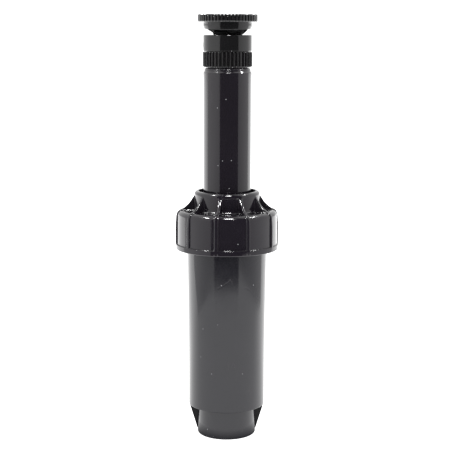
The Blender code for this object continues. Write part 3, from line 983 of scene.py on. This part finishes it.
def slotted_screw():
    """Stainless flow screw with a domed slotted head."""
    rows = filleted(
        [
            (0.0, 214.9, 0),
            (1.1, 214.9, 0),
            (1.5, 215.3, 0.05),
            (1.5, 222.0, 0.05),
            (1.3, 222.3, 0.05),
            (1.3, 238.6, 0.1),
            (3.0, 238.6, 0.15),
            (3.1, 239.9, 0.35),
            (2.2, 240.65, 0.8),
            (0.0, 240.8, 0),
        ]
    )
    mesh = lathe(rows, 96)
    screw = piece("slotted_screw", mesh, SCREW_STEEL, "screw", "flow_screw", sharp=35)
    cutter_mesh = bmesh.new()
    bmesh.ops.create_cube(cutter_mesh, size=1.0)
    cutter_data = bpy.data.meshes.new("slot_cutter")
    bmesh.ops.scale(cutter_mesh, vec=(8 * MM, 0.8 * MM, 2 * MM), verts=cutter_mesh.verts)
    bmesh.ops.translate(cutter_mesh, vec=(0, 0, 240.9 * MM), verts=cutter_mesh.verts)
    cutter_mesh.to_mesh(cutter_data)
    cutter_mesh.free()
    cutter = bpy.data.objects.new("slot_cutter", cutter_data)
    bpy.context.scene.collection.objects.link(cutter)
    cut = screw.modifiers.new("slot", "BOOLEAN")
    cut.operation = "DIFFERENCE"
    cut.solver = "EXACT"
    cut.object = cutter
    screw.modifiers.move(len(screw.modifiers) - 1, 0)
    bpy.context.view_layer.update()
    evaluated = screw.evaluated_get(bpy.context.evaluated_depsgraph_get())
    baked = bpy.data.meshes.new_from_object(evaluated)
    screw.modifiers.clear()
    screw.data = baked
    bpy.data.objects.remove(cutter, do_unlink=True)
    return screw


side_webs()
casing()
screw_cap()
wiper()
spring()
stem()
ribbed_collar()
sleeve()
ramped_seat()
spray_cap()
slotted_screw()

# CAD nodes that stay as they are
for node, finish in {
    "cap_gasket": SEAL_RUBBER,
    "seal_retainer": INNER_BLACK,
    "ratchet_ring": INNER_BLACK,
    "nozzle_gasket": SEAL_RUBBER,
    "filter_screen": INNER_BLACK,
    "throttle_seat": INNER_BLACK,
    "throttle_nut": INNER_BLACK,
    "deflector_oring": SEAL_RUBBER,
    "deflector_clip": SPRING_STEEL,
    "screw_oring": SEAL_RUBBER,
}.items():
    kept = frame["nodes"][node]
    kept.data.materials.clear()
    kept.data.materials.append(finish)


# Studio


def plain_material(name, colour, glow):
    made, n = new_material(name)
    n.shader.inputs["Base Color"].default_value = (*colour, 1.0)
    n.shader.inputs["Roughness"].default_value = 0.9
    n.shader.inputs["Specular IOR Level"].default_value = 0.0
    n.shader.inputs["Emission Color"].default_value = (1.0, 1.0, 1.0, 1.0)
    n.shader.inputs["Emission Strength"].default_value = glow
    return made


def graded_material(name, colour, along, low, high, low_glow, high_glow):
    """A surface whose glow changes between the places low and high along a direction."""
    made = plain_material(name, colour, high_glow)
    n = Nodes(made)
    dot = n.new("ShaderNodeVectorMath", operation="DOT_PRODUCT")
    n.link(n.place, dot.inputs[0])
    dot.inputs[1].default_value = along
    glow = n.ranged(dot.outputs["Value"], low, high, low_glow, high_glow)
    n.link(glow, n.shader.inputs["Emission Strength"])
    return made


def stage_mesh(name, verts, faces, material):
    data = bpy.data.meshes.new(name)
    data.from_pydata(verts, [], faces)
    data.materials.append(material)
    obj = bpy.data.objects.new(name, data)
    bpy.context.scene.collection.objects.link(obj)
    return obj


def floor():
    size = 6.0
    level = -0.0001
    corners = [(x * size, y * size, level) for x, y in ((-1, -1), (1, -1), (1, 1), (-1, 1))]
    white = (0.45, 0.45, 0.45)
    material = graded_material("floor_white", white, (0, 1, 0), -0.02, 0.12, 1.18, 1.95)
    stage_mesh("floor", corners, [(0, 1, 2, 3)], material)


def contact_shadow():
    """A dark round on the floor, seen only in reflections, that fades out round the foot."""
    material = plain_material("shadow_grey", (0, 0, 0), 1.0)
    n = Nodes(material)
    away = n.new("ShaderNodeVectorMath", operation="LENGTH")
    n.link(n.place, away.inputs[0])
    count, radius, level = 64, 0.032, 0.00005
    glow = n.ranged(away.outputs["Value"], 0.018, radius, 0.25, 1.5)
    n.link(glow, n.shader.inputs["Emission Strength"])
    turns = [TAU * i / count for i in range(count)]
    ring = [(radius * math.sin(t), radius * math.cos(t), level) for t in turns]
    reflected_only(stage_mesh("contact_shadow", ring, [tuple(range(count))], material))


def reflected_only(obj):
    """Leaves the object to glossy rays alone."""
    obj.visible_camera = False
    obj.visible_diffuse = False
    obj.visible_shadow = False
    obj.visible_transmission = False


def screen(name, line, high, lid, material):
    """A screen seen only in reflections. line lists (azimuth, distance, foot) along it.

    Its ceiling, at the height high, reaches in to the share lid of its distance.
    """
    verts, faces = [], []
    for azimuth, distance, foot in line:
        a = math.radians(azimuth)
        x, y = distance * math.sin(a), -distance * math.cos(a)
        verts += [(x, y, foot), (x, y, high), (x * lid, y * lid, high)]
    for i in range(len(line) - 1):
        a, b = 3 * i, 3 * (i + 1)
        faces += [(a, b, b + 1, a + 1), (a + 1, b + 1, b + 2, a + 2)]
    reflected_only(stage_mesh(name, verts, faces, material))


def sweep(left, right):
    """Even steps between two (azimuth, distance, foot height) ends."""
    return [tuple(a + (b - a) * i / 24 for a, b in zip(left, right)) for i in range(25)]


def lamp(name, azimuth, elevation, distance, width, height, power):
    """A small lamp that shows only as a highlight."""
    a, e = math.radians(azimuth), math.radians(elevation)
    target = Vector((0, 0, 0.13))
    towards = Vector((math.cos(e) * math.sin(a), -math.cos(e) * math.cos(a), math.sin(e)))
    place = target + distance * towards
    data = bpy.data.lights.new(name, "AREA")
    data.shape = "RECTANGLE"
    data.size, data.size_y = width, height
    data.energy = power
    obj = bpy.data.objects.new(name, data)
    obj.location = place
    obj.rotation_euler = (target - place).to_track_quat("-Z", "Y").to_euler()
    obj.visible_diffuse = False
    bpy.context.scene.collection.objects.link(obj)


def world():
    made = bpy.data.worlds.new("studio")
    bpy.context.scene.world = made
    made.use_nodes = True
    background = made.node_tree.nodes["Background"]
    background.inputs["Color"].default_value = (1.0, 1.0, 1.0, 1.0)
    background.inputs["Strength"].default_value = 1.35


def camera():
    data = bpy.data.cameras.new("camera")
    data.sensor_width = 36.0
    data.lens = 94.1
    data.clip_start = 0.01
    obj = bpy.data.objects.new("camera", data)
    obj.location = (0.0, -0.67265, 0.22988)
    pitch = Matrix.Rotation(math.radians(90 - 9.14), 3, "X")
    roll = Matrix.Rotation(math.radians(0.18), 3, "Z")
    obj.rotation_euler = (pitch @ roll).to_euler()
    bpy.context.scene.collection.objects.link(obj)
    bpy.context.scene.camera = obj


world()
floor()
contact_shadow()
# Black in front of the sprinkler, greys at its sides that brighten towards the back
flag_black = plain_material("flag_black", (0.01, 0.01, 0.01), 0.0)
left_grey = graded_material("left_grey", (0, 0, 0), (0, 1, 1.2), -0.35, 0.02, 0.70, 1.22)
right_grey = graded_material("right_grey", (0, 0, 0), (0, 1, 0.6), -0.25, 0.06, 0.75, 1.12)
front_line = sweep((-36, 0.395, 0), (33, 0.395, 0))
side_line = sweep((33, 0.395, 0.035), (52, 0.42, 0.035))
left_line = sweep((-90.5, 0.305, 0), (-36.3, 0.40, 0))
left_end_line = [(-107, 0.305, 0.04), (-99, 0.305, 0.019), (-90.5, 0.305, 0)]
right_line = sweep((33.3, 0.46, 0), (95, 0.335, 0)) + [(116, 0.335, 0)]
screen("front_flag", front_line, 0.95, 0.3, flag_black)
screen("side_flag", side_line, 0.95, 0.1, flag_black)
screen("left_wall", left_line, 0.6, 0.98, left_grey)
screen("left_wall_end", left_end_line, 0.6, 0.98, left_grey)
screen("right_wall", right_line, 0.6, 0.98, right_grey)
lamp("lamp_left", -69, 52, 0.55, 0.15, 0.045, 3.6)
lamp("lamp_middle", 6, 52, 0.42, 0.11, 0.04, 2.2)
lamp("lamp_right", 98, 52, 0.55, 0.11, 0.045, 2.5)
camera()
bpy.context.scene.view_settings.view_transform = "Standard"
